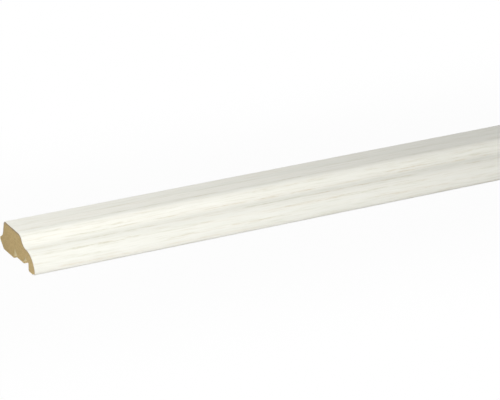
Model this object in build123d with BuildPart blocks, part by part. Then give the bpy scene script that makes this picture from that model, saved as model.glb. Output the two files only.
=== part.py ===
from build123d import *
from math import atan2, cos, degrees, radians, sin, sqrt, tan
import os

# Wall moulding: a milled MDF strip whose face and rear edge are wrapped in a printed foil.
# It lies on its back. In the section, u runs from the nub's tip to the front nose and v is up.

# Overall size of the strip
length = 2600.0
width = 40.0
height = 15.0

# Moulded face, from the nose at the front up to the top flat
nose_radius = 1.3
nose_lift = 0.4
lip_relief_angle = 11.0
ovolo_radius = 10.0
ogee_run = 8.5
bullnose_radius = 4.3

# Rear edge: the leaning flank and the tapered nub below it
top_edge_radius = 2.7
flank_lean_angle = 11.8
nub_depth = 3.15
nub_height = 4.3
nub_rise = 2.6
nub_blunt = 1.1
nub_root_radius = 3.2
undercut_run = 4.05
heel_radius = 1.0

# Relieved back: foot, step, clip recess, ramped groove and front lip
step_run = 3.6
step_radius = 2.5
recess_depth = 1.8
recess_width = 8.0
ramp_run = 4.4
groove_depth = 3.9
groove_roof = 0.8
lip_thickness = 7.4
lip_radius = 1.0

# Foil wrapped round the face, ending under the nose and low on the flank
foil_thickness = 0.3
foil_lap = 2.2
foil_hem_height = 8.4

# The ovolo is a large quarter round that runs on into the small nose round without a corner
nose_u = width - nose_radius
nose_v = nose_lift + nose_radius
ovolo_u = nose_u - sqrt((ovolo_radius - nose_radius) ** 2 - nose_v**2)
nose_start_angle = degrees(atan2(nose_v, nose_u - ovolo_u))
nose_turn = nose_start_angle + 90 - lip_relief_angle

# The ogee is a cove and a bullnose that turn by the same angle, level where they start and end
ogee_drop = height - ovolo_radius
ogee_turn = degrees(2 * atan2(ogee_drop, ogee_run))
cove_radius = ogee_run / sin(radians(ogee_turn)) - bullnose_radius
bullnose_u = ovolo_u - ogee_run

# The lip's sloping underside runs from the nose down to the resting plane
relief_u = nose_u + nose_radius * sin(radians(lip_relief_angle))
relief_v = nose_v - nose_radius * cos(radians(lip_relief_angle))
lip_flat_u = relief_u - relief_v / tan(radians(lip_relief_angle))

# Places along the back, counted from the front lip towards the foot
lip_wall_u = width - lip_thickness
groove_u = lip_wall_u - groove_roof
recess_front_u = groove_u - ramp_run
recess_rear_u = recess_front_u - recess_width
foot_front_u = recess_rear_u - step_run

# Zone of the foil: its lap under the nose, and a level midway between the shelf and the groove
foil_lap_u = width - foil_lap
mid_core_v = (ovolo_radius + groove_depth) / 2

# Corners of the rear edge
nub_root_v = nub_height + nub_rise
top_corner_u = nub_depth + (height - nub_root_v) * tan(radians(flank_lean_angle))

# Each corner of the back and the rear edge, with the radius that rounds it
back_corners = [
    ((lip_flat_u, 0), 0),
    ((lip_wall_u, 0), lip_radius),
    ((lip_wall_u, groove_depth), 0),
    ((groove_u, groove_depth), 0),
    ((recess_front_u, recess_depth), step_radius),
    ((recess_rear_u, recess_depth), step_radius),
    ((foot_front_u, 0), step_radius),
    ((undercut_run, 0), heel_radius),
    ((0, nub_height - nub_blunt / 2), 0),
    ((0, nub_height + nub_blunt / 2), 0),
    ((nub_depth, nub_root_v), nub_root_radius),
    ((top_corner_u, height), top_edge_radius),
]

# The section stands across the length, with the nub at the rear and the nose at the front
section_plane = Plane(origin=(0, width / 2, 0), x_dir=(0, -1, 0), z_dir=(-1, 0, 0))

# Whole section, foil and core together
with BuildSketch() as outline:
    with BuildLine():
        bullnose = CenterArc(
            (bullnose_u, height - bullnose_radius), bullnose_radius, 90, -ogee_turn
        )
        CenterArc((ovolo_u, ovolo_radius + cove_radius), cove_radius, 270 - ogee_turn, ogee_turn)
        CenterArc((ovolo_u, 0), ovolo_radius, 90, nose_start_angle - 90)
        nose = CenterArc((nose_u, nose_v), nose_radius, nose_start_angle, -nose_turn)
        FilletPolyline(
            nose @ 1,
            *[corner for corner, _ in back_corners],
            bullnose @ 0,
            radius=[radius for _, radius in back_corners],
        )
    make_face()

# Skin of the section that the foil covers: the flank above its hem, the face, and the nose as
# far as its lap. Inside the core the edge of that zone stays clear of the face and the back.
with BuildSketch() as foil_outline:
    add(outline.sketch)
    offset(outline.sketch, amount=-foil_thickness, mode=Mode.SUBTRACT)
    with BuildLine():
        Polyline(
            (0, foil_hem_height),
            (bullnose_u, foil_hem_height),
            (bullnose_u, mid_core_v),
            (ovolo_u, mid_core_v),
            (foil_lap_u, nose_v),
            (foil_lap_u, 0),
            (width, 0),
            (width, height),
            (0, height),
            close=True,
        )
    make_face(mode=Mode.INTERSECT)

# Wrapped foil, one strip from under the nose, over the face and down the flank
with BuildPart() as decor_foil:
    with BuildSketch(section_plane):
        add(foil_outline.sketch)
    extrude(amount=length / 2, both=True)

# Milled core, the section less the foil
with BuildPart() as mdf_core:
    with BuildSketch(section_plane):
        add(outline.sketch)
        add(foil_outline.sketch, mode=Mode.SUBTRACT)
    extrude(amount=length / 2, both=True)

decor_foil.part.label = "decor_foil"
mdf_core.part.label = "mdf_core"

os.makedirs("parts", exist_ok=True)
export_step(decor_foil.part, "parts/decor_foil.step")
export_step(mdf_core.part, "parts/mdf_core.step")
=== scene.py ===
"""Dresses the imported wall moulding: an MDF strip wrapped in a wood-print foil, on a plain studio floor."""

import math
from typing import NamedTuple

import bpy
import numpy as np
from bpy.props import FloatProperty, FloatVectorProperty, IntProperty, PointerProperty
from mathutils import Matrix, Vector
from mathutils.geometry import delaunay_2d_cdt


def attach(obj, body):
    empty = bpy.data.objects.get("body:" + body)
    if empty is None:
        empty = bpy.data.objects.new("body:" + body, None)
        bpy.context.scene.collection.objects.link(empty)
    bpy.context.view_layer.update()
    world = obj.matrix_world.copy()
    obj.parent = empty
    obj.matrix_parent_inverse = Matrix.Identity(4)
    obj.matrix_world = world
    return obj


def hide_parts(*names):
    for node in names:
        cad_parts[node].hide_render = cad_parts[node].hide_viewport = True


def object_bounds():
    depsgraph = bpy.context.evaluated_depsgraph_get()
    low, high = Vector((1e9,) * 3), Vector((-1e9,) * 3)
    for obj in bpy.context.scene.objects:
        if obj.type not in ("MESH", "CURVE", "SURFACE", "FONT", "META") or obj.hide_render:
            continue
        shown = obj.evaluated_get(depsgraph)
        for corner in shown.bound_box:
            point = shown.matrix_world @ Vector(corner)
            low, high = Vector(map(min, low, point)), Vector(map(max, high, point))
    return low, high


bl_info = {
    "name": "Foil-wrapped wall moulding",
    "version": (1, 0, 0),
    "blender": (4, 5, 0),
    "location": "View3D > Sidebar > Moulding",
    "description": "Builds the printed foil, the MDF strip and the studio stage of a wall moulding",
    "category": "Object",
}

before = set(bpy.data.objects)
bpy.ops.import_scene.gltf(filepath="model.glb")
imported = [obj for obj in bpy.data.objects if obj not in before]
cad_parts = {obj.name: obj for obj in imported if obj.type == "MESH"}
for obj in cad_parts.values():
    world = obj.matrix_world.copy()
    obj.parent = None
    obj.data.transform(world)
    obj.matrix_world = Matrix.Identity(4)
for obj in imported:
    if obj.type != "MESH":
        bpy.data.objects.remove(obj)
CAD_LOW, CAD_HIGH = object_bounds()
CAD_SIZE = CAD_HIGH - CAD_LOW
MM = 0.001
BODY = "root"
WHITE = (1, 1, 1, 1)


# Properties

def size(name, millimetres, description):
    """A length of the moulding, given in millimetres."""
    return FloatProperty(name=name, description=description, default=millimetres * MM,
                         unit="LENGTH", precision=5)


def angle(name, degrees, description):
    """An angle, given in degrees."""
    return FloatProperty(name=name, description=description, default=math.radians(degrees), subtype="ANGLE")


def share(name, value, description):
    """A plain factor."""
    return FloatProperty(name=name, description=description, default=value, subtype="FACTOR")


def power(name, watts, description):
    """The power of a lamp, in watts."""
    return FloatProperty(name=name, description=description, default=watts, unit="POWER")


def colour(name, value, description):
    """A linear colour."""
    return FloatVectorProperty(name=name, description=description, default=value,
                               subtype="COLOR", size=3, min=0, max=1)


class MouldingSection(bpy.types.PropertyGroup):
    """Sizes of the milled section and of the foil on it."""

    width: FloatProperty(name="Width", description="From nub to nose", default=CAD_SIZE.y, unit="LENGTH")
    height: FloatProperty(name="Height", description="From foot to top", default=CAD_SIZE.z, unit="LENGTH")
    nose_radius: size("Nose radius", 1.3, "Rounding of the front edge")
    nose_lift: size("Nose lift", 0.4, "Height of the nose's lowest point above the foot")
    lip_relief: angle("Lip relief", 11, "Slope under the nose")
    ovolo_radius: size("Ovolo radius", 10, "Quarter round above the nose")
    ogee_run: size("Ogee run", 8.5, "Depth of the S curve from the ovolo to the bullnose")
    bullnose_radius: size("Bullnose radius", 4.3, "Rounding between the S curve and the top")
    top_edge_radius: size("Top edge radius", 2.7, "Rounding of the rear top edge")
    flank_lean: angle("Flank lean", 11.8, "Lean of the rear flank from upright")
    nub_depth: size("Nub depth", 3.15, "How far the rear nub stands out of the flank")
    nub_height: size("Nub height", 4.3, "Height of the nub's tip")
    nub_rise: size("Nub rise", 2.6, "From the nub's tip up to its root")
    nub_blunt: size("Nub flat", 1.1, "Flat on the nub's tip")
    nub_root_radius: size("Nub root radius", 3.2, "Fillet between the nub and the flank")
    undercut_run: size("Undercut run", 4.05, "From the nub's tip in to the heel")
    heel_radius: size("Heel radius", 1, "Rounding of the heel")
    step_run: size("Step run", 3.6, "Slope from the foot up to the recess")
    step_radius: size("Step radius", 2.5, "Rounding of the recess's bends")
    recess_depth: size("Recess depth", 1.8, "Depth of the flat recess underneath")
    recess_width: size("Recess width", 8, "Flat of the recess")
    ramp_run: size("Ramp run", 4.4, "Slope from the recess up to the groove")
    groove_depth: size("Groove depth", 3.9, "Depth of the groove behind the lip")
    groove_roof: size("Groove roof", 0.8, "Flat at the top of the groove")
    lip_thickness: size("Lip thickness", 7.4, "From the lip's inner wall to the nose")
    lip_radius: size("Lip radius", 1.0, "Rounding of the lip's inner edge")
    foil_thickness: size("Foil thickness", 0.3, "Thickness of the wrap with its glue")
    foil_lap: size("Foil lap", 2.2, "How far the foil turns under behind the nose")
    foil_hem_height: size("Foil hem height", 8.4, "Height of the foil's rear hem on the flank")
    profile_step: size("Profile step", 0.35, "Spacing of the points round the section")
    station_count: IntProperty(name="Stations", default=52,
                               description="Spans along the strip, a multiple of the map rows")


class FoilFinish(bpy.types.PropertyGroup):
    """Colours and grain of the printed foil."""

    ground: colour("Ground", (0.89, 0.88, 0.805), "Pale ground of the print")
    glow: colour("Glow", (0.92, 0.915, 0.855), "Whiter streaks of the print")
    band: colour("Band", (0.82, 0.83, 0.76), "Soft cool bands along the grain")
    vein: colour("Vein", (0.535, 0.535, 0.385), "Olive lines of the print")
    tick: colour("Tick", (0.61, 0.525, 0.36), "Tan lines of the print, and short dashes in all of them")
    pore: colour("Pore", (0.66, 0.62, 0.53), "Fine pores")
    edge: colour("Cut edge", (0.66, 0.62, 0.58), "Cut edge and back of the foil")
    roughness: share("Roughness", 0.52, "Satin lacquer on the foil")
    drift: share("Drift", 0.0058, "Slant of the grain against the length")
    wander: size("Wander", 0.7, "How far the lines wander sideways")


class MdfFinish(bpy.types.PropertyGroup):
    """Colours and saw marks of the fibreboard."""

    pale: colour("Pale fibre", (0.51, 0.381, 0.179), "Loose pale fibre")
    deep: colour("Deep fibre", (0.384, 0.277, 0.112), "Resin-dark fibre")
    dense: colour("Dense face", (0.26, 0.185, 0.085), "Pressed faces and milled sides")
    torn: colour("Torn fibre", (0.57, 0.49, 0.29), "Fresh fibre where the saw tore")
    # Dark glue line along the foil's edge on the sawn end, with painted shade of the foil's cut edge mixed
    # in
    glue_and_shade: colour("Glue line", (0.14, 0.115, 0.098), "Dark glue between foil and fibre on the sawn end")
    # Width of the band of glue and painted shade along the foil's edge
    glue_shade_width: size("Glue width", 1.0, "How far the glue has soaked into the sawn end")
    arris: size("Arris", 0.06, "Wear of the sawn edges")
    fuzz: size("Fuzz", 0.035, "Height of the raised fibre on the sawn end")
    tear_depth: size("Tear depth", 0.45, "Depth of the two torn spots on each end")
    cap_step: size("Cap step", 0.34, "Spacing of the points on the sawn end")


class StudioStage(bpy.types.PropertyGroup):
    """Floor, lamps and camera."""

    floor: colour("Floor", (0.5, 0.5, 0.5), "Grey of the floor under its white")
    floor_white: share("Floor white", 0.965, "Share of plain white that the floor shows by the strip")
    floor_fade: size("Floor fade", 160, "How far from the strip the floor has faded to plain white")
    floor_side: size("Floor side", 90000, "Side of the square floor")
    ambient: share("Ambient", 0.16, "Strength of the white surroundings")
    key_power: power("Key power", 2.36, "Softbox before the near end")
    top_power: power("Top power", 2.3, "Softbox above the near end")
    end_power: power("End power", 0.52, "Low softbox before the sawn end")
    far_power: power("Far power", 0.08, "Small lamp beyond the far end, no higher than the strip")
    row_power: power("Row power", 1.03, "Long softbox before the rest of the strip")
    rear_power: power("Rear power", 0.62, "Long softbox above the rest of the strip")
    azimuth: angle("Azimuth", -28.197, "Direction of the camera round the near end")
    elevation: angle("Elevation", 22.649, "Height of the camera above the horizon")
    roll: angle("Roll", 0.39, "Tilt of the camera about its axis")
    distance: size("Distance", 1296.1, "From the camera to the near end")
    pan: size("Pan", 107.688, "Shift of the camera to the right of the near end")
    rise: size("Rise", 29.173, "Shift of the camera above the near end")
    lens: FloatProperty(name="Lens", description="Focal length", default=201.05, unit="CAMERA")


# Section

# Points this close, in metres, count as one, and a step of an arc turns no further than this
SAME_POINT = 1e-7
FINE_TURN = math.radians(5)


class Trace:
    """Points along a line of the section, walked with the material on the left."""

    def __init__(self, step):
        self.step = step
        self.points = []

    def add(self, point):
        """Adds a point, unless the trace already ends there."""
        if not self.points or math.dist(self.points[-1], point) > SAME_POINT:
            self.points.append(point)

    def line(self, end):
        """Walks straight to end."""
        start = self.points[-1]
        count = max(1, math.ceil(math.dist(start, end) / self.step))
        for i in range(1, count + 1):
            t = i / count
            self.add((start[0] + (end[0] - start[0]) * t, start[1] + (end[1] - start[1]) * t))

    def arc(self, centre, radius, start, turn):
        """Walks an arc from the angle start through turn, in radians."""
        count = max(2, math.ceil(abs(turn) / FINE_TURN), math.ceil(abs(turn) * radius / self.step))
        for i in range(count + 1):
            a = start + turn * i / count
            self.add((centre[0] + radius * math.cos(a), centre[1] + radius * math.sin(a)))

    def rounded(self, corners):
        """Walks straight lines through corners, each (point, radius), and rounds the inner ones."""
        for i, (corner, radius) in enumerate(corners):
            if i == len(corners) - 1 or radius == 0:
                self.line(corner)
                continue
            before = Vector(self.points[-1]) - Vector(corner)
            after = Vector(corners[i + 1][0]) - Vector(corner)
            turn = math.pi - before.angle(after)
            reach = radius * math.tan(turn / 2)
            side = 1 if (-before).cross(after) > 0 else -1
            touch = Vector(corner) + before.normalized() * reach
            inward = Vector((before.y, -before.x)).normalized() * side
            centre = touch + inward * radius
            first = math.atan2(-inward.y, -inward.x)
            self.line(tuple(touch))
            self.arc(tuple(centre), radius, first, turn * side)


def face_trace(s):
    """The foil's outer line: from its lap under the nose, up the face, over the top and down to its hem."""
    nose_u = s.width - s.nose_radius
    nose_v = s.nose_lift + s.nose_radius
    ovolo_u = nose_u - math.sqrt((s.ovolo_radius - s.nose_radius) ** 2 - nose_v ** 2)
    nose_end = math.atan2(nose_v, nose_u - ovolo_u)
    nose_start = s.lip_relief - math.pi / 2
    ogee_turn = 2 * math.atan2(s.height - s.ovolo_radius, s.ogee_run)
    cove_radius = s.ogee_run / math.sin(ogee_turn) - s.bullnose_radius
    bullnose_u = ovolo_u - s.ogee_run
    bullnose_v = s.height - s.bullnose_radius
    trace = Trace(s.profile_step)
    trace.add(lap_point(s))
    trace.line(relief_point(s))
    trace.arc((nose_u, nose_v), s.nose_radius, nose_start, nose_end - nose_start)
    trace.arc((ovolo_u, 0), s.ovolo_radius, nose_end, math.pi / 2 - nose_end)
    trace.arc((ovolo_u, s.ovolo_radius + cove_radius), cove_radius, 1.5 * math.pi, -ogee_turn)
    trace.arc((bullnose_u, bullnose_v), s.bullnose_radius, math.pi / 2 - ogee_turn, ogee_turn)
    top_corner_u = s.nub_depth + (s.height - s.nub_height - s.nub_rise) * math.tan(s.flank_lean)
    trace.rounded([((top_corner_u, s.height), s.top_edge_radius), (hem_point(s), 0)])
    return trace.points


def relief_point(s):
    """Where the nose turns into the relief under it."""
    relief_u = s.width - s.nose_radius + s.nose_radius * math.sin(s.lip_relief)
    relief_v = s.nose_lift + s.nose_radius - s.nose_radius * math.cos(s.lip_relief)
    return relief_u, relief_v


def lap_point(s):
    """Where the foil ends on the relief under the nose."""
    relief_u, relief_v = relief_point(s)
    lap_u = s.width - s.foil_lap
    return lap_u, relief_v - (relief_u - lap_u) * math.tan(s.lip_relief)


def hem_point(s):
    """Where the foil ends on the rear flank."""
    root_v = s.nub_height + s.nub_rise
    return s.nub_depth + (s.foil_hem_height - root_v) * math.tan(s.flank_lean), s.foil_hem_height


class BackBends(NamedTuple):
    """Places of the back's bends across the section, from the lip's inner wall to the foot."""

    lip_wall: float
    groove: float
    recess_front: float
    recess_rear: float
    foot_front: float


def back_bends(s):
    """Works out the back's bends, each from the one before it."""
    lip_wall = s.width - s.lip_thickness
    groove = lip_wall - s.groove_roof
    recess_front = groove - s.ramp_run
    recess_rear = recess_front - s.recess_width
    foot_front = recess_rear - s.step_run
    return BackBends(lip_wall, groove, recess_front, recess_rear, foot_front)


def bare_trace(s):
    """The bare fibreboard: from the hem down round the nub, under the strip and out to the lap."""
    bends = back_bends(s)
    lap_u, lap_v = lap_point(s)
    lip_flat_u = lap_u - lap_v / math.tan(s.lip_relief)
    trace = Trace(s.profile_step)
    trace.add(hem_point(s))
    trace.rounded([
        ((s.nub_depth, s.nub_height + s.nub_rise), s.nub_root_radius),
        ((0, s.nub_height + s.nub_blunt / 2), 0),
        ((0, s.nub_height - s.nub_blunt / 2), 0),
        ((s.undercut_run, 0), s.heel_radius),
        ((bends.foot_front, 0), s.step_radius),
        ((bends.recess_rear, s.recess_depth), s.step_radius),
        ((bends.recess_front, s.recess_depth), s.step_radius),
        ((bends.groove, s.groove_depth), 0),
        ((bends.lip_wall, s.groove_depth), 0),
        ((bends.lip_wall, 0), s.lip_radius),
        ((lip_flat_u, 0), 0),
        ((lap_u, lap_v), 0),
    ])
    return trace.points


def inset(points, depth, closed=False):
    """The points moved into the material by depth, square to the line."""
    line = np.array(points)
    ahead = np.roll(line, -1, axis=0) - line
    behind = line - np.roll(line, 1, axis=0)
    if not closed:
        ahead[-1] = behind[-1]
        behind[0] = ahead[0]
    ahead /= np.linalg.norm(ahead, axis=1)[:, None]
    behind /= np.linalg.norm(behind, axis=1)[:, None]
    along = ahead + behind
    along /= np.linalg.norm(along, axis=1)[:, None]
    left = np.stack((-along[:, 1], along[:, 0]), axis=1)
    return line + left * depth


def girths(points, closed=True):
    """Distance walked along the points, with the way back to the first at the end if closed."""
    line = np.array(points)
    if closed:
        line = np.vstack((line, line[:1]))
    return np.concatenate(([0], np.cumsum(np.linalg.norm(np.diff(line, axis=0), axis=1))))


# Meshes

class Stock:
    """A bar of one section, gathered as rings of points along X and closed by a cap at each end."""

    def __init__(self, section):
        self.section = section
        self.verts = []
        self.faces = []
        self.materials = []
        self.grain = []
        self.bake = []

    def ring(self, points, x):
        """Adds a ring of section points at x and returns the index of its first point."""
        first = len(self.verts)
        half = self.section.width / 2
        self.verts.extend((x, half - u, v) for u, v in points)
        return first

    def face(self, corners, material, grain, bake):
        """Adds a face with its two maps, corner by corner."""
        self.faces.append(corners)
        self.materials.append(material)
        self.grain.extend(grain)
        self.bake.extend(bake)

    def build(self, name, materials):
        """Makes the object, with its grain map in metres and its bake map."""
        mesh = bpy.data.meshes.new(name)
        mesh.from_pydata(self.verts, [], self.faces)
        for finish in materials:
            mesh.materials.append(finish)
        mesh.polygons.foreach_set("material_index", self.materials)
        for map_name, corners in (("OFBake", self.bake), ("grain", self.grain)):
            layer = mesh.uv_layers.new(name=map_name)
            layer.data.foreach_set("uv", np.array(corners, dtype=np.float32).ravel())
        mesh.validate()
        mesh.update()
        piece = bpy.data.objects.new(name, mesh)
        bpy.context.scene.collection.objects.link(piece)
        return piece


# Rows of the bake map that the strip is folded into, and the gap round each
MAP_ROWS = 4
MAP_MARGIN = 0.006


class MapRows:
    """Folds the strip's length into rows of a square map, so that the bake has enough points along it."""

    def __init__(self, low, high):
        self.low = low
        self.pitch = (high - low) / MAP_ROWS

    def place(self, span, along, across):
        """Map point for along (0 to 1 over the length, seen from its span's row) and across (0 to 1)."""
        row = min(int(span * MAP_ROWS), MAP_ROWS - 1)
        x = MAP_MARGIN + (along * MAP_ROWS - row) * (1 - 2 * MAP_MARGIN)
        y = self.low + self.pitch * row + MAP_MARGIN + across * (self.pitch - 2 * MAP_MARGIN)
        return x, y


def smooth_shade(piece, sharp_degrees):
    """Smooth shading with sharp creases."""
    mesh = piece.data
    mesh.polygons.foreach_set("use_smooth", [True] * len(mesh.polygons))
    mesh.set_sharp_from_angle(angle=math.radians(sharp_degrees))


def extrude_sides(stock, rings, stations, runs):
    """Joins the rings with quads. Each run is (first, last, material, map rows) over the ring's edges."""
    count = len(rings[0])
    starts = [stock.ring(points, x) for points, x in zip(rings, stations)]
    walk = girths(rings[len(rings) // 2])
    low, high = stations[0], stations[-1]
    for first, last, material, rows in runs:
        run_low, run_high = walk[first], walk[last]
        for k in range(len(stations) - 1):
            near, far = stations[k] - low, stations[k + 1] - low
            span = (near + far) / 2 / (high - low)
            for i in range(first, last):
                j = (i + 1) % count
                corners = (starts[k] + i, starts[k + 1] + i, starts[k + 1] + j, starts[k] + j)
                ends = ((near, walk[i]), (far, walk[i]), (far, walk[i + 1]), (near, walk[i + 1]))
                across = [(g - run_low) / (run_high - run_low) for _, g in ends]
                bake = [rows.place(span, x / (high - low), a) for (x, _), a in zip(ends, across)]
                stock.face(corners, material, ends, bake)
    return starts


# Node helpers

# How far apart the nodes stand in the editor, and in how many rows
NODE_PITCH = 180
NODE_DROP = 220
NODE_ROWS = 3


class Wiring:
    """Adds nodes to a tree. An input may be a socket, which is linked, or a plain value."""

    def __init__(self, tree):
        self.tree = tree
        self.column = 0

    def node(self, kind, inputs=None, **settings):
        """Adds a node, sets its settings and feeds its inputs by name or number."""
        made = self.tree.nodes.new(kind)
        made.location = (self.column * NODE_PITCH, (self.column % NODE_ROWS) * -NODE_DROP)
        self.column += 1
        for name, value in settings.items():
            setattr(made, name, value)
        for name, value in (inputs or {}).items():
            self.feed(made.inputs[name], value)
        return made

    def feed(self, socket, value):
        """Links or sets one input."""
        if isinstance(value, bpy.types.NodeSocket):
            self.tree.links.new(value, socket)
        else:
            socket.default_value = value

    def maths(self, operation, first, second=0.0, third=0.0):
        """One Math node."""
        return self.node("ShaderNodeMath", {0: first, 1: second, 2: third}, operation=operation).outputs[0]

    def remap(self, value, low, high, to_low=0.0, to_high=1.0):
        """A smooth step from low to high."""
        made = self.node("ShaderNodeMapRange", {"Value": value, "From Min": low, "From Max": high,
                                                "To Min": to_low, "To Max": to_high})
        made.interpolation_type = "SMOOTHSTEP"
        return made.outputs["Result"]

    def mix(self, factor, first, second):
        """A mix of two colours."""
        inputs = {0: factor, 6: opaque(first), 7: opaque(second)}
        return self.node("ShaderNodeMix", inputs, data_type="RGBA").outputs[2]

    def lay(self, under, over, mask, share_of):
        """Lays one colour over another by a share of a mask."""
        return self.mix(self.maths("MULTIPLY", mask, share_of), under, over)

    def noise(self, vector, scale, detail=2.0, roughness=0.5):
        """A noise value from 0 to 1."""
        made = self.node("ShaderNodeTexNoise", {"Vector": vector, "Scale": scale, "Detail": detail,
                                                "Roughness": roughness})
        return made.outputs["Fac"]

    def group(self, tree, inputs):
        """Places a node group."""
        made = self.node("ShaderNodeGroup", node_tree=tree)
        for name, value in inputs.items():
            self.feed(made.inputs[name], value)
        return made


def opaque(value):
    """A plain colour with full alpha; a socket as it is."""
    if isinstance(value, bpy.types.NodeSocket):
        return value
    return (*value, 1.0)


def new_group(name, inputs, outputs):
    """Starts a shader node group and returns its wiring, its input sockets and its output node."""
    tree = bpy.data.node_groups.new(name, "ShaderNodeTree")
    for socket_name, kind, default in inputs:
        socket = tree.interface.new_socket(socket_name, in_out="INPUT", socket_type=kind)
        if default is not None:
            socket.default_value = default
    for socket_name, kind in outputs:
        tree.interface.new_socket(socket_name, in_out="OUTPUT", socket_type=kind)
    wiring = Wiring(tree)
    return wiring, wiring.node("NodeGroupInput").outputs, wiring.node("NodeGroupOutput")


def streak_group():
    """Long soft marks along the grain: the print's lines and pores, and the cutter's marks on the back."""
    name = "Grain streaks"
    if name in bpy.data.node_groups:
        return bpy.data.node_groups[name]
    wiring, given, out = new_group(
        name,
        [("Grain", "NodeSocketVector", None), ("Along", "NodeSocketFloat", 0.04),
         ("Across", "NodeSocketFloat", 0.001), ("Seed", "NodeSocketFloat", 0.0),
         ("Low", "NodeSocketFloat", 0.5), ("High", "NodeSocketFloat", 0.7)],
        [("Mask", "NodeSocketFloat")])
    parts = wiring.node("ShaderNodeSeparateXYZ", {0: given["Grain"]}).outputs
    stretched = wiring.node("ShaderNodeCombineXYZ", {
        0: wiring.maths("DIVIDE", parts[0], given["Along"]),
        1: wiring.maths("DIVIDE", parts[1], given["Across"]),
        2: given["Seed"]}).outputs[0]
    value = wiring.noise(stretched, 1.0, detail=2.0, roughness=0.55)
    wiring.feed(out.inputs["Mask"], wiring.remap(value, given["Low"], given["High"]))
    return wiring.tree


# How much of the fibre's tone is specks, and where its mask starts and is full
SPECK_SHARE = 0.6
FIBRE_LOW = 0.36
FIBRE_HIGH = 0.64


def fibre_group():
    """Pressed wood fibre: fine specks, larger clumps and the faint layers of the board."""
    name = "Pressed fibre"
    if name in bpy.data.node_groups:
        return bpy.data.node_groups[name]
    wiring, given, out = new_group(
        name,
        [("Place", "NodeSocketVector", None), ("Speck", "NodeSocketFloat", 0.0003),
         ("Clump", "NodeSocketFloat", 0.002), ("Layering", "NodeSocketFloat", 2.5)],
        [("Mask", "NodeSocketFloat"), ("Height", "NodeSocketFloat")])
    parts = wiring.node("ShaderNodeSeparateXYZ", {0: given["Place"]}).outputs
    layered = wiring.node("ShaderNodeCombineXYZ", {
        0: parts[0], 1: parts[1], 2: wiring.maths("MULTIPLY", parts[2], given["Layering"])}).outputs[0]
    specks = wiring.noise(layered, wiring.maths("DIVIDE", 1.0, given["Speck"]), detail=3.0, roughness=0.65)
    clumps = wiring.noise(layered, wiring.maths("DIVIDE", 1.0, given["Clump"]), detail=2.0)
    rest = wiring.maths("MULTIPLY", clumps, 1 - SPECK_SHARE)
    both = wiring.maths("MULTIPLY_ADD", specks, SPECK_SHARE, rest)
    wiring.feed(out.inputs["Mask"], wiring.remap(both, FIBRE_LOW, FIBRE_HIGH))
    wiring.feed(out.inputs["Height"], specks)
    return wiring.tree


def new_material(name, roughness):
    """Starts a material and returns it with its wiring and its Principled node."""
    made = bpy.data.materials.new(name)
    made.use_nodes = True
    made.node_tree.nodes.clear()
    wiring = Wiring(made.node_tree)
    shader = wiring.node("ShaderNodeBsdfPrincipled")
    shader.inputs["Roughness"].default_value = roughness
    wiring.node("ShaderNodeOutputMaterial", {"Surface": shader.outputs[0]})
    return made, wiring, shader


def bump(wiring, shader, height, distance, strength):
    """Feeds the shader's normal from a height."""
    made = wiring.node("ShaderNodeBump", {"Height": height, "Distance": distance, "Strength": strength})
    wiring.feed(shader.inputs["Normal"], made.outputs[0])


# Finishes

class Mark(NamedTuple):
    """One kind of streaks: length and width in millimetres, and where its mask starts and is full."""

    length: float
    width: float
    seed: float
    low: float
    high: float


# Streaks of the foil's print, and the cutter's marks on the fibreboard
BANDS = Mark(length=240, width=4.2, seed=1.3, low=0.35, high=0.7)
HUES = Mark(length=60, width=2.4, seed=33.9, low=0.42, high=0.58)
SWELL = Mark(length=40, width=5.0, seed=12.9, low=0.3, high=0.6)
GLOWS = Mark(length=22, width=1.4, seed=21.7, low=0.46, high=0.72)
FLAMES = Mark(length=15, width=0.65, seed=5.1, low=0.48, high=0.74)
DASHES = Mark(length=9, width=0.9, seed=8.7, low=0.38, high=0.64)
TICKS = Mark(length=3.4, width=0.4, seed=27.1, low=0.38, high=0.66)
PORES = Mark(length=3.2, width=0.17, seed=17.3, low=0.56, high=0.74)
CUTTER = Mark(length=320, width=0.45, seed=2.2, low=0.4, high=0.65)

# How much of a colour shows where its mask is full
BAND_SHARE = 0.45
GLOW_SHARE = 0.45
FLAME_SHARE = 0.25
VEIN_SHARE = 0.74
TICK_SHARE = 0.42
PORE_SHARE = 0.12
CUTTER_SHARE = 0.35
LOOSE_SHARE = 0.6
DENSE_SHARE = 0.3
TORN_SHARE = 0.9
# The glue line's share also carries the painted shade along the foil's edge
GLUE_SHADE_SHARE = 0.85

# How much of a vein is left between its dashes, and how much of a dash between its ticks
DASH_REST = 0.15
TICK_REST = 0.55

# Places of the veins, in millimetres from the foil's lap round the face, with their strength and width
VEINS = ((4.1, 0.35), (7.3, 0.5), (11.3, 0.8), (15.8, 0.7), (20.4, 0.75), (22.0, 0.6), (24.6, 0.4),
         (29.2, 0.7), (36.0, 0.4), (44.5, 0.5))
VEIN_WIDTH = 0.95

# The wander of the grain is one row of a noise, this many waves to the metre
SWAY_SCALE = 9.0
SWAY_ROW = 0.3

# How deep the pores and the ticks are pressed, and how much rougher the lacquer is in a pore
PORE_DEPTH = 0.7
TICK_DEPTH = 0.3
PORE_ROUGHER = 0.1

# How much paler the specks in the foil's cut edge are, and the roughness of milled fibre
EDGE_PALER = 1.35
MILLED_ROUGHNESS = (0.55, 0.72)


def grain_map(wiring):
    """The map in metres: along the strip, and walked round its section."""
    return wiring.node("ShaderNodeUVMap", uv_map="grain").outputs[0]


def streaks(wiring, grain, mark):
    """The mask of one kind of streaks."""
    return wiring.group(streak_group(), {
        "Grain": grain, "Along": mark.length * MM, "Across": mark.width * MM, "Seed": mark.seed,
        "Low": mark.low, "High": mark.high}).outputs["Mask"]


def fibres(wiring, speck, clump, layering):
    """The mask and the height of pressed fibre, with its specks and clumps in millimetres."""
    place = wiring.node("ShaderNodeTexCoord").outputs["Object"]
    return wiring.group(fibre_group(), {
        "Place": place, "Speck": speck * MM, "Clump": clump * MM, "Layering": layering}).outputs


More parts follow.
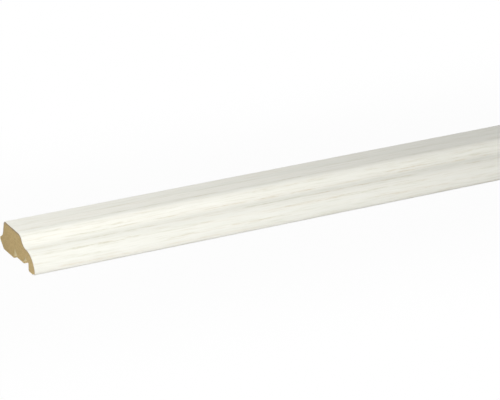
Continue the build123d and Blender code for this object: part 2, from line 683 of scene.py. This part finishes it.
def vein_profile(wiring, across, girth):
    """How strong the print's lines are at each place across the foil."""
    made = wiring.node("ShaderNodeValToRGB", {0: wiring.maths("DIVIDE", across, girth)})
    ramp = made.color_ramp
    ramp.interpolation = "EASE"
    width = VEIN_WIDTH * MM / girth
    ramp.elements[0].position = 0
    ramp.elements[0].color = (0, 0, 0, 1)
    ramp.elements.remove(ramp.elements[1])
    for place, strength in VEINS:
        middle = place * MM / girth
        for position, value in ((middle - width, 0), (middle, strength), (middle + width, 0)):
            ramp.elements.new(min(max(position, 0), 1)).color = (value, value, value, 1)
    return made.outputs["Color"]


def foil_print(f, girth):
    """The printed face of the foil: pale ground, soft bands, veins of short ticks and fine pores."""
    made, wiring, shader = new_material("foil_print", roughness=f.roughness)
    along, walked, _ = wiring.node("ShaderNodeSeparateXYZ", {0: grain_map(wiring)}).outputs
    row = wiring.node("ShaderNodeCombineXYZ", {0: along, 1: SWAY_ROW}).outputs[0]
    waviness = wiring.noise(row, SWAY_SCALE, detail=1.0)
    sway = wiring.maths("MULTIPLY", wiring.maths("SUBTRACT", waviness, 0.5), 2 * f.wander)
    drifted = wiring.maths("MULTIPLY_ADD", along, f.drift, walked)
    across = wiring.maths("ADD", drifted, sway)
    grain = wiring.node("ShaderNodeCombineXYZ", {0: along, 1: across}).outputs[0]

    dashes = streaks(wiring, grain, DASHES)
    ticks = streaks(wiring, grain, TICKS)
    pores = streaks(wiring, grain, PORES)
    veins = wiring.maths("MULTIPLY", vein_profile(wiring, across, girth), streaks(wiring, grain, SWELL))
    dashed = wiring.maths("MULTIPLY", veins, wiring.maths("MULTIPLY_ADD", dashes, 1 - DASH_REST, DASH_REST))
    ticked = wiring.maths("MULTIPLY", dashed, wiring.maths("MULTIPLY_ADD", ticks, 1 - TICK_REST, TICK_REST))

    line = wiring.mix(streaks(wiring, grain, HUES), f.vein, f.tick)
    cooled = wiring.lay(f.ground, f.band, streaks(wiring, grain, BANDS), BAND_SHARE)
    lit = wiring.lay(cooled, f.glow, streaks(wiring, grain, GLOWS), GLOW_SHARE)
    flamed = wiring.lay(lit, line, streaks(wiring, grain, FLAMES), FLAME_SHARE)
    veined = wiring.lay(flamed, line, ticked, VEIN_SHARE)
    warmed = wiring.lay(veined, f.tick, wiring.maths("MULTIPLY", dashed, ticks), TICK_SHARE)
    pored = wiring.lay(warmed, f.pore, pores, PORE_SHARE)
    wiring.feed(shader.inputs["Base Color"], pored)

    height = wiring.maths("MULTIPLY_ADD", pores, -PORE_DEPTH, wiring.maths("MULTIPLY", ticks, -TICK_DEPTH))
    bump(wiring, shader, height, distance=0.05 * MM, strength=0.35)
    roughness = wiring.remap(pores, 0, 1, f.roughness, f.roughness + PORE_ROUGHER)
    wiring.feed(shader.inputs["Roughness"], roughness)
    return made


def foil_edge(f):
    """The cut edge and the glued back of the foil."""
    made, wiring, shader = new_material("foil_edge", roughness=0.75)
    fibre = fibres(wiring, speck=0.2, clump=1.5, layering=1.0)
    pale = [min(1, c * EDGE_PALER) for c in f.edge]
    wiring.feed(shader.inputs["Base Color"], wiring.mix(fibre["Mask"], f.edge, pale))
    bump(wiring, shader, fibre["Height"], distance=0.05 * MM, strength=0.4)
    return made


def mdf_sides(m):
    """Milled fibreboard: dense, with long cutter marks."""
    made, wiring, shader = new_material("mdf_milled", roughness=0.62)
    fibre = fibres(wiring, speck=0.35, clump=3.0, layering=1.0)
    cutter = streaks(wiring, grain_map(wiring), CUTTER)
    mottled = wiring.mix(fibre["Mask"], m.dense, m.deep)
    wiring.feed(shader.inputs["Base Color"], wiring.lay(mottled, m.pale, cutter, CUTTER_SHARE))
    height = wiring.maths("MULTIPLY", wiring.maths("ADD", fibre["Height"], cutter), 0.5)
    bump(wiring, shader, height, distance=0.05 * MM, strength=0.5)
    wiring.feed(shader.inputs["Roughness"], wiring.remap(fibre["Mask"], 0, 1, *MILLED_ROUGHNESS))
    return made


def mdf_end(m):
    """Sawn fibreboard: open fibre in faint layers, a glue line with painted shade under the foil, and paler
    torn spots.
    """
    made, wiring, shader = new_material("mdf_sawn", roughness=0.9)
    fibre = fibres(wiring, speck=0.28, clump=1.8, layering=2.2)

    def stored(name):
        return wiring.node("ShaderNodeAttribute", attribute_name=name).outputs["Fac"]

    paleness = wiring.maths("MULTIPLY_ADD", stored("loose"), LOOSE_SHARE, fibre["Mask"])
    body = wiring.mix(paleness, m.deep, m.pale)
    pressed = wiring.lay(body, m.dense, stored("dense"), DENSE_SHARE)
    ragged = wiring.lay(pressed, m.torn, stored("torn"), TORN_SHARE)
    # Dark glue line along the foil's edge, partly painted shade
    glued_and_shaded = wiring.lay(ragged, m.glue_and_shade, stored("glue_and_shade"), GLUE_SHADE_SHARE)
    wiring.feed(shader.inputs["Base Color"], glued_and_shaded)
    bump(wiring, shader, fibre["Height"], distance=0.12 * MM, strength=0.6)
    return made


# Pieces

# Where the sides lie in the bake map, from the lowest to the highest part of its height
PRINT_ROWS = (0.12, 1.0)
FOIL_BACK_ROWS = (0.03, 0.12)
BARE_ROWS = (0.13, 0.68)
COVERED_ROWS = (0.0, 0.12)

# Where the ends lie in it, the foil's one above the other and the fibreboard's side by side
FOIL_END_LEFT = 0.01
FOIL_END_LOWS = (0.004, 0.017)
FOIL_END_SIZE = (0.98, 0.008)
SAWN_END_LEFTS = (0.01, 0.51)
SAWN_END_LOW = 0.69
SAWN_END_SIZE = (0.47, 0.3)

# Places of the materials on the two pieces
PRINT_SLOT, EDGE_SLOT = 0, 1
MILLED_SLOT, SAWN_SLOT = 0, 1


def lay_foil(settings):
    """Builds the foil: the printed skin over the face, the top and the upper flank."""
    s, f = settings.section, settings.foil
    face = face_trace(s)
    back = [tuple(p) for p in inset(face, s.foil_thickness)]
    ring = face + back[::-1]
    stations = list(np.linspace(CAD_LOW.x, CAD_HIGH.x, s.station_count + 1))
    stock = Stock(s)
    shown = MapRows(*PRINT_ROWS)
    hidden = MapRows(*FOIL_BACK_ROWS)
    last_face = len(face) - 1
    starts = extrude_sides(stock, [ring] * len(stations), stations, [
        (0, last_face, PRINT_SLOT, shown),
        (last_face, last_face + 1, EDGE_SLOT, hidden),
        (last_face + 1, len(ring) - 1, EDGE_SLOT, hidden),
        (len(ring) - 1, len(ring), EDGE_SLOT, hidden),
    ])
    walk = girths(face, closed=False)
    thick = s.foil_thickness
    wide, tall = FOIL_END_SIZE
    for start, low in zip((starts[0], starts[-1]), FOIL_END_LOWS):
        for i in range(last_face):
            opposite = len(ring) - 1 - i
            corners = [start + k for k in (i, i + 1, opposite - 1, opposite)]
            grain = [(walk[i], 0), (walk[i + 1], 0), (walk[i + 1], thick), (walk[i], thick)]
            bake = [(FOIL_END_LEFT + wide * g / walk[-1], low + tall * d / thick) for g, d in grain]
            if start != starts[0]:
                corners, grain, bake = corners[::-1], grain[::-1], bake[::-1]
            stock.face(corners, EDGE_SLOT, grain, bake)
    piece = stock.build("foil_wrap", [foil_print(f, walk[-1]), foil_edge(f)])
    smooth_shade(piece, sharp_degrees=35)
    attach(piece, BODY)
    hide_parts("decor_foil")


def inside(ring, points):
    """Which points lie inside the ring."""
    x, y = points[:, 0], points[:, 1]
    held = np.zeros(len(points), bool)
    for (x0, y0), (x1, y1) in zip(ring, np.roll(ring, -1, axis=0)):
        crossing = (y0 > y) != (y1 > y)
        if y0 != y1:
            held ^= crossing & (x < x0 + (y - y0) * (x1 - x0) / (y1 - y0))
    return held


def distance_to(line, points):
    """Distance of each point from a line of points."""
    nearest = np.full(len(points), np.inf)
    for start, end in zip(line[:-1], line[1:]):
        edge = end - start
        t = np.clip(((points - start) @ edge) / (edge @ edge), 0, 1)
        nearest = np.minimum(nearest, np.linalg.norm(points - start - t[:, None] * edge, axis=1))
    return nearest


# Corners of the torn wedges, in millimetres forward of the foot and of the recess's front, and up
STEP_TEAR = ((0.1, 0.9), (4.0, 2.4), (0.8, 5.6))
RAMP_TEAR = ((-0.5, 2.5), (3.4, 4.3), (1.3, 6.3))


def torn_spots(s):
    """The two wedges that the saw tears out above the bends of the back, as points of the section."""
    bends = back_bends(s)
    step = [(bends.foot_front + u * MM, v * MM) for u, v in STEP_TEAR]
    ramp = [(bends.recess_front + u * MM, v * MM) for u, v in RAMP_TEAR]
    return step, ramp


def wedge_depth(corners, points):
    """How deep inside a wedge each point lies: 0 at its sides, 1 in its middle."""
    a, b, c = (np.array(p) for p in corners)
    area = (b[0] - a[0]) * (c[1] - a[1]) - (b[1] - a[1]) * (c[0] - a[0])
    from_a, from_b = points - a, points - b
    wc = ((b[0] - a[0]) * from_a[:, 1] - (b[1] - a[1]) * from_a[:, 0]) / area
    wa = ((c[0] - b[0]) * from_b[:, 1] - (c[1] - b[1]) * from_b[:, 0]) / area
    wb = 1 - wa - wc
    return np.clip(3 * np.minimum(np.minimum(wa, wb), wc), 0, 1)


def smooth_step(values, low, high):
    """A smooth rise from 0 at low to 1 at high."""
    t = np.clip((values - low) / (high - low), 0, 1)
    return t * t * (3 - 2 * t)


# Shares of the height over which the glue line and its painted shade set in and darken towards the top, and
# its palest tone
GLUE_SHADE_SETS_IN = (0.2, 0.5)
GLUE_SHADE_DARKENS = (0.45, 1.0)
GLUE_SHADE_LEAST = 0.2

# Shares of the width over which the dense fibre of the foot ends and the loose fibre of the lip starts
DENSE_ENDS = (0.0, 0.5)
LOOSE_STARTS = (0.6, 0.9)

# How sharply the edge of a torn spot shows
TEAR_EDGE = 9


def end_masks(settings, places, covered):
    """Where the sawn end shows the glue line with painted shade along the foil's edge, torn fibre, the dense
    foot and the loose fibre of the lip.
    """
    s, m = settings.section, settings.mdf
    along = places[:, 0] / s.width
    up = places[:, 1] / s.height
    # Band along the foil's edge: real glue, plus painted shade that grows darker towards the top
    glue_shade_band = np.clip(1 - distance_to(covered, places) / m.glue_shade_width, 0, 1)
    wedges = np.maximum.reduce([wedge_depth(w, places) for w in torn_spots(s)])
    tone = GLUE_SHADE_LEAST + (1 - GLUE_SHADE_LEAST) * smooth_step(up, *GLUE_SHADE_DARKENS)
    return {
        "glue_and_shade": glue_shade_band * tone * smooth_step(up, *GLUE_SHADE_SETS_IN),
        "torn": np.clip(TEAR_EDGE * wedges, 0, 1),
        "dense": (1 - up) * (1 - smooth_step(along, *DENSE_ENDS)),
        "loose": (1 - up) * smooth_step(along, *LOOSE_STARTS),
    }


# Shares of a step by which the points of a sawn end are shaken, and kept clear of its outline
CAP_SHAKE = 0.22
CAP_CLEAR = 0.6

# The mesher keeps what is inside the outline, and joins points this close, in millimetres
INSIDE_ONLY = 1
CAP_SLACK = 1e-6

# Spread of the raised fibre about its height, and the seed of both ends
FUZZ_SPREAD = 0.5
SAW_SEED = 11


def cap_points(ring, step, rng):
    """A jittered grid of points inside the ring, clear of its edges."""
    low, high = ring.min(axis=0), ring.max(axis=0)
    across = np.arange(low[0], high[0], step)
    up = np.arange(low[1], high[1], step * math.sqrt(3) / 2)
    grid = np.array([(u + (k % 2) * step / 2, v) for k, v in enumerate(up) for u in across])
    grid += rng.uniform(-CAP_SHAKE, CAP_SHAKE, grid.shape) * step
    grid = grid[inside(ring, grid)]
    return grid[distance_to(np.vstack((ring, ring[:1])), grid) > CAP_CLEAR * step]


def saw_end(stock, settings, ring, start, x, outward, bake_left, rng):
    """Closes one end with a sawn face: raised fibre all over and two torn spots."""
    s, m = settings.section, settings.mdf
    inner = cap_points(ring, m.cap_step, rng)
    flat = np.vstack((ring, inner))
    count = len(ring)
    edges = [(i, (i + 1) % count) for i in range(count)]
    _, _, triangles, sources, *_ = delaunay_2d_cdt(
        [Vector(p / MM) for p in flat], edges, [], INSIDE_ONLY, CAP_SLACK)
    wedges = np.maximum.reduce([wedge_depth(w, inner) for w in torn_spots(s)])
    fuzz = rng.normal(0, FUZZ_SPREAD, len(inner)) * m.fuzz
    depth = fuzz + m.fuzz + np.sqrt(wedges) * m.tear_depth
    first = len(stock.verts)
    half = s.width / 2
    stock.verts.extend((x - outward * d, half - u, v) for (u, v), d in zip(inner, depth))
    index = [start + k if k < count else first + k - count for k in range(len(flat))]
    wide, tall = SAWN_END_SIZE
    for triangle in triangles:
        picked = [sources[k][0] for k in triangle]
        if outward > 0:
            picked = picked[::-1]
        grain = [tuple(flat[k]) for k in picked]
        bake = [(bake_left + wide * u / s.width, SAWN_END_LOW + tall * v / s.height) for u, v in grain]
        stock.face(tuple(index[k] for k in picked), SAWN_SLOT, grain, bake)


def mill_core(settings):
    """Builds the fibreboard strip with its milled back and its two sawn ends."""
    s, m = settings.section, settings.mdf
    face = face_trace(s)
    covered = [tuple(p) for p in inset(face, s.foil_thickness)]
    bare = bare_trace(s)
    ring = covered + bare
    worn = [tuple(p) for p in inset(ring, m.arris, closed=True)]
    near, far = CAD_LOW.x, CAD_HIGH.x
    between = list(np.linspace(near, far, s.station_count + 1))[1:-1]
    stations = [near, near + m.arris, *between, far - m.arris, far]
    rings = [worn, *[ring] * (len(stations) - 2), worn]
    stock = Stock(s)
    shown = MapRows(*BARE_ROWS)
    hidden = MapRows(*COVERED_ROWS)
    split = len(covered) - 1
    starts = extrude_sides(stock, rings, stations, [
        (0, split, MILLED_SLOT, hidden),
        (split, len(ring), MILLED_SLOT, shown),
    ])
    rng = np.random.default_rng(SAW_SEED)
    outline = np.array(worn)
    near_left, far_left = SAWN_END_LEFTS
    saw_end(stock, settings, outline, starts[0], near, -1, near_left, rng)
    saw_end(stock, settings, outline, starts[-1], far, 1, far_left, rng)
    piece = stock.build("mdf_strip", [mdf_sides(m), mdf_end(m)])
    places = np.array([(s.width / 2 - y, z) for _, y, z in stock.verts])
    masks = end_masks(settings, places, outline[:len(covered)])
    for name, values in masks.items():
        layer = piece.data.attributes.new(name, "FLOAT", "POINT")
        layer.data.foreach_set("value", values.astype(np.float32))
    smooth_shade(piece, sharp_degrees=30)
    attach(piece, BODY)
    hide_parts("mdf_core")


# Stage

# Gap between the floor and the foot, so that they share no plane
FLOOR_GAP = 0.02 * MM

# Where the two long softboxes start, in metres from the near end, and how wide their grids open
ROW_START = 0.46
REAR_START = 0.48
GRID_DEGREES = 70


def seen_directly(wiring):
    """One for rays that show the background: camera, glossy and transmission rays."""
    path = wiring.node("ShaderNodeLightPath").outputs
    either = wiring.maths("MAXIMUM", path["Is Camera Ray"], path["Is Glossy Ray"])
    return wiring.maths("MAXIMUM", either, path["Is Transmission Ray"])


def light_world(stage):
    """White surroundings that light the strip softly and show as plain white."""
    world = bpy.data.worlds.new("studio")
    bpy.context.scene.world = world
    world.use_nodes = True
    world.node_tree.nodes.clear()
    wiring = Wiring(world.node_tree)
    lit = wiring.node("ShaderNodeBackground", {"Color": WHITE, "Strength": stage.ambient}).outputs[0]
    plain = wiring.node("ShaderNodeBackground", {"Color": WHITE, "Strength": 1.0}).outputs[0]
    both = wiring.node("ShaderNodeMixShader", {0: seen_directly(wiring), 1: lit, 2: plain}).outputs[0]
    wiring.node("ShaderNodeOutputWorld", {"Surface": both})


def lay_floor(stage):
    """A floor that shows nearly white and keeps the strip's shadow."""
    half = stage.floor_side / 2
    corners = [(-half, -half, 0), (half, -half, 0), (half, half, 0), (-half, half, 0)]
    mesh = bpy.data.meshes.new("studio_floor")
    mesh.from_pydata(corners, [], [(0, 1, 2, 3)])
    floor = bpy.data.objects.new("studio_floor", mesh)
    bpy.context.scene.collection.objects.link(floor)
    floor.location.z = -FLOOR_GAP
    made, wiring, shader = new_material("floor_paper", roughness=0.9)
    shader.inputs["Base Color"].default_value = (*stage.floor, 1)
    shader.inputs["Specular IOR Level"].default_value = 0
    white = wiring.node("ShaderNodeEmission", {"Color": WHITE, "Strength": 1.0}).outputs[0]
    place = wiring.node("ShaderNodeTexCoord").outputs["Object"]
    along, sideways, _ = wiring.node("ShaderNodeSeparateXYZ", {0: place}).outputs
    beyond = wiring.maths("SUBTRACT", wiring.maths("ABSOLUTE", along), CAD_SIZE.x / 2)
    away = wiring.maths("MAXIMUM", wiring.maths("ABSOLUTE", sideways), beyond)
    whiteness = wiring.remap(away, CAD_SIZE.y, stage.floor_fade, stage.floor_white, 1.0)
    amount = wiring.maths("MULTIPLY", seen_directly(wiring), whiteness)
    both = wiring.node("ShaderNodeMixShader", {0: amount, 1: shader.outputs[0], 2: white}).outputs[0]
    output = next(n for n in made.node_tree.nodes if n.type == "OUTPUT_MATERIAL")
    wiring.feed(output.inputs["Surface"], both)
    mesh.materials.append(made)


def near_end():
    """Foot of the strip's near end, on its middle line."""
    return Vector((CAD_LOW.x, (CAD_LOW.y + CAD_HIGH.y) / 2, 0))


def softbox(name, watts, across, up, place, target, spread=180):
    """Hangs a rectangular softbox at place, facing target, both measured from the near end.

    Lengths are in metres, and the spread of its light is in degrees.
    """
    lamp = bpy.data.lights.new(name, "AREA")
    lamp.energy = watts
    lamp.shape = "RECTANGLE"
    lamp.size = across
    lamp.size_y = up
    lamp.spread = math.radians(spread)
    made = bpy.data.objects.new(name, lamp)
    bpy.context.scene.collection.objects.link(made)
    made.location = near_end() + Vector(place)
    made.rotation_mode = "QUATERNION"
    made.rotation_quaternion = (Vector(target) - Vector(place)).to_track_quat("-Z", "Y")


def hang_lamps(stage):
    """Softboxes by the near end, whose light falls off along the strip, and others for the rest."""
    softbox("key_softbox", stage.key_power, across=0.4, up=0.45,
            place=(0.03, -0.5, 0.25), target=(0.1, 0, 0))
    softbox("top_softbox", stage.top_power, across=0.4, up=0.4,
            place=(-0.34, 0.1, 0.46), target=(0.1, 0, 0))
    softbox("end_softbox", stage.end_power, across=0.3, up=0.1,
            place=(-0.5, 0, 0.07), target=(0, 0, 0.01))
    softbox("far_softbox", stage.far_power, across=0.04, up=0.012,
            place=(CAD_SIZE.x + 0.1, 0, 0.007), target=(CAD_SIZE.x, 0, 0.007))
    row_middle = (ROW_START + CAD_SIZE.x) / 2
    softbox("row_softbox", stage.row_power, across=CAD_SIZE.x - ROW_START, up=0.25, spread=GRID_DEGREES,
            place=(row_middle, -0.28, 0.22), target=(row_middle, 0, 0))
    rear_middle = (REAR_START + CAD_SIZE.x) / 2
    softbox("rear_softbox", stage.rear_power, across=CAD_SIZE.x - REAR_START, up=0.25, spread=GRID_DEGREES,
            place=(rear_middle, 0.14, 0.4), target=(rear_middle, 0, 0))


def place_camera(stage):
    """A long lens on the near end of the strip."""
    lens = bpy.data.cameras.new("studio_camera")
    lens.lens = stage.lens
    lens.clip_start = 0.05
    lens.clip_end = 200
    made = bpy.data.objects.new("studio_camera", lens)
    bpy.context.scene.collection.objects.link(made)
    flat = math.cos(stage.elevation)
    right = Vector((math.cos(stage.azimuth), math.sin(stage.azimuth), 0))
    back = Vector((right.y * flat, -right.x * flat, math.sin(stage.elevation)))
    up = back.cross(right)
    spin = Matrix.Rotation(stage.roll, 3, back)
    axes = Matrix((spin @ right, spin @ up, back)).transposed()
    place = near_end() + back * stage.distance + right * stage.pan + up * stage.rise
    made.matrix_world = Matrix.Translation(place) @ axes.to_4x4()
    bpy.context.scene.camera = made


# Add-on

class MouldingSettings(bpy.types.PropertyGroup):
    """All settings of the moulding."""

    section: PointerProperty(type=MouldingSection, name="Section", description="Sizes of the section")
    foil: PointerProperty(type=FoilFinish, name="Foil", description="Finish of the foil")
    mdf: PointerProperty(type=MdfFinish, name="Fibreboard", description="Finish of the fibreboard")
    stage: PointerProperty(type=StudioStage, name="Stage", description="Floor, lamps and camera")


class MOULDING_OT_lay_foil(bpy.types.Operator):
    """Wrap the strip in its printed foil"""

    bl_idname = "moulding.lay_foil"
    bl_label = "Foil wrap"

    def execute(self, context):
        lay_foil(context.scene.moulding)
        return {"FINISHED"}


class MOULDING_OT_mill_core(bpy.types.Operator):
    """Mill the fibreboard strip and saw its ends"""

    bl_idname = "moulding.mill_core"
    bl_label = "Fibreboard strip"

    def execute(self, context):
        mill_core(context.scene.moulding)
        return {"FINISHED"}


class MOULDING_OT_set_stage(bpy.types.Operator):
    """Lay the floor, hang the lamps and place the camera"""

    bl_idname = "moulding.set_stage"
    bl_label = "Studio stage"

    def execute(self, context):
        stage = context.scene.moulding.stage
        context.scene.view_settings.view_transform = "Standard"
        light_world(stage)
        lay_floor(stage)
        hang_lamps(stage)
        place_camera(stage)
        return {"FINISHED"}


class MOULDING_PT_sidebar(bpy.types.Panel):
    """Lists the steps and their settings"""

    bl_label = "Wall moulding"
    bl_idname = "MOULDING_PT_sidebar"
    bl_space_type = "VIEW_3D"
    bl_region_type = "UI"
    bl_category = "Moulding"

    def draw(self, context):
        settings = context.scene.moulding
        for group, step in ((settings.section, None), (settings.foil, MOULDING_OT_lay_foil),
                            (settings.mdf, MOULDING_OT_mill_core), (settings.stage, MOULDING_OT_set_stage)):
            box = self.layout.box()
            for name in group.__annotations__:
                box.prop(group, name)
            if step:
                box.operator(step.bl_idname)


CLASSES = (MouldingSection, FoilFinish, MdfFinish, StudioStage, MouldingSettings, MOULDING_OT_lay_foil,
           MOULDING_OT_mill_core, MOULDING_OT_set_stage, MOULDING_PT_sidebar)


def register():
    for kind in CLASSES:
        bpy.utils.register_class(kind)
    bpy.types.Scene.moulding = PointerProperty(type=MouldingSettings)


def unregister():
    del bpy.types.Scene.moulding
    for kind in reversed(CLASSES):
        bpy.utils.unregister_class(kind)


def main():
    """Builds every piece and the stage."""
    register()
    bpy.ops.moulding.lay_foil()
    bpy.ops.moulding.mill_core()
    bpy.ops.moulding.set_stage()


if __name__ == "__main__":
    main()
